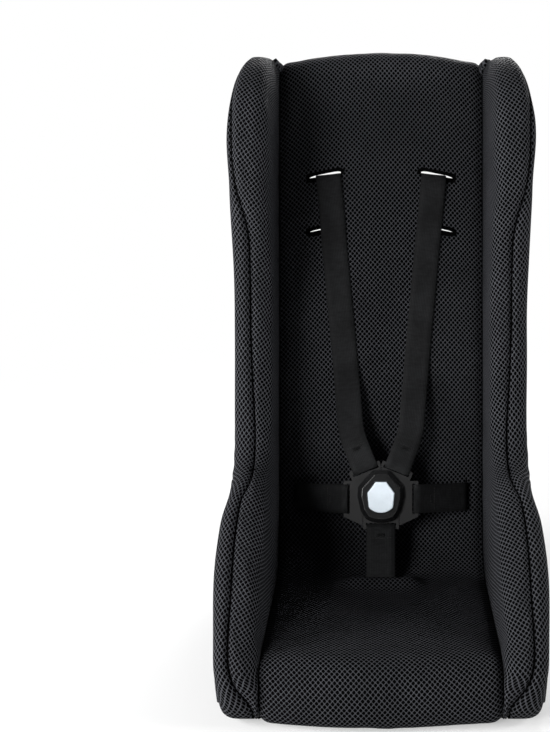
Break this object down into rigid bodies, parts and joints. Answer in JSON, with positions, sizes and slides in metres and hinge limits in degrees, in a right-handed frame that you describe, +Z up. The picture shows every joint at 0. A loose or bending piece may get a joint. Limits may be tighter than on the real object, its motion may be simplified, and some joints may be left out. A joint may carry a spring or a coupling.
{
  "type": "child bike seat",
  "caption": "Padded bucket seat for a toddler with head wings, hip bolsters, a mesh cover and a five-point harness closed by a push-button buckle.",
  "frame": {"origin": "middle of the bottom of the seat's bounding box, on the plane the seat stands on", "axes": "+Z up, -Y the way the child looks, +X to the right as seen from the front"},
  "size_m": [0.293, 0.4306, 0.5334],
  "materials": {
    "mesh": "black knitted spacer mesh with diamond holes",
    "binding": "black elastic binding tape",
    "webbing": "black woven polyester webbing",
    "foam": "black moulded bead foam",
    "buckle": "glossy black moulded plastic",
    "button": "glossy pale bluish white plastic",
    "steel": "zinc-plated steel"
  },
  "bodies": {
    "seat": {"buckle_bezel": "buckle", "buckle_housing": "buckle", "buckle_screws": "steel", "button_spring": "steel", "cover_bolster_panel_left": "mesh", "cover_bolster_panel_right": "mesh", "cover_centre_panel": "mesh", "cover_side_panel_left": "mesh", "cover_side_panel_right": "mesh", "crotch_rod": "steel", "crotch_strap": "webbing", "hem_binding": "binding", "hip_left_rod": "steel", "hip_right_rod": "steel", "hip_strap_left": "webbing", "hip_strap_right": "webbing", "seat_shell": "foam", "shoulder_left_rod": "steel", "shoulder_right_rod": "steel", "shoulder_strap_left": "webbing", "shoulder_strap_right": "webbing", "tongue_left": "buckle", "tongue_right": "buckle"},
    "button": {"release_button": "button"}
  },
  "joints": [
    {"name": "button_press", "type": "slide", "parent": "seat", "child": "button", "axis": [0, 0.9613, -0.2756], "range_m": [0, 0.0034], "stiffness_N_per_m": 3000, "springref_m": -0.003, "deforming": ["button_spring"]}
  ]
}
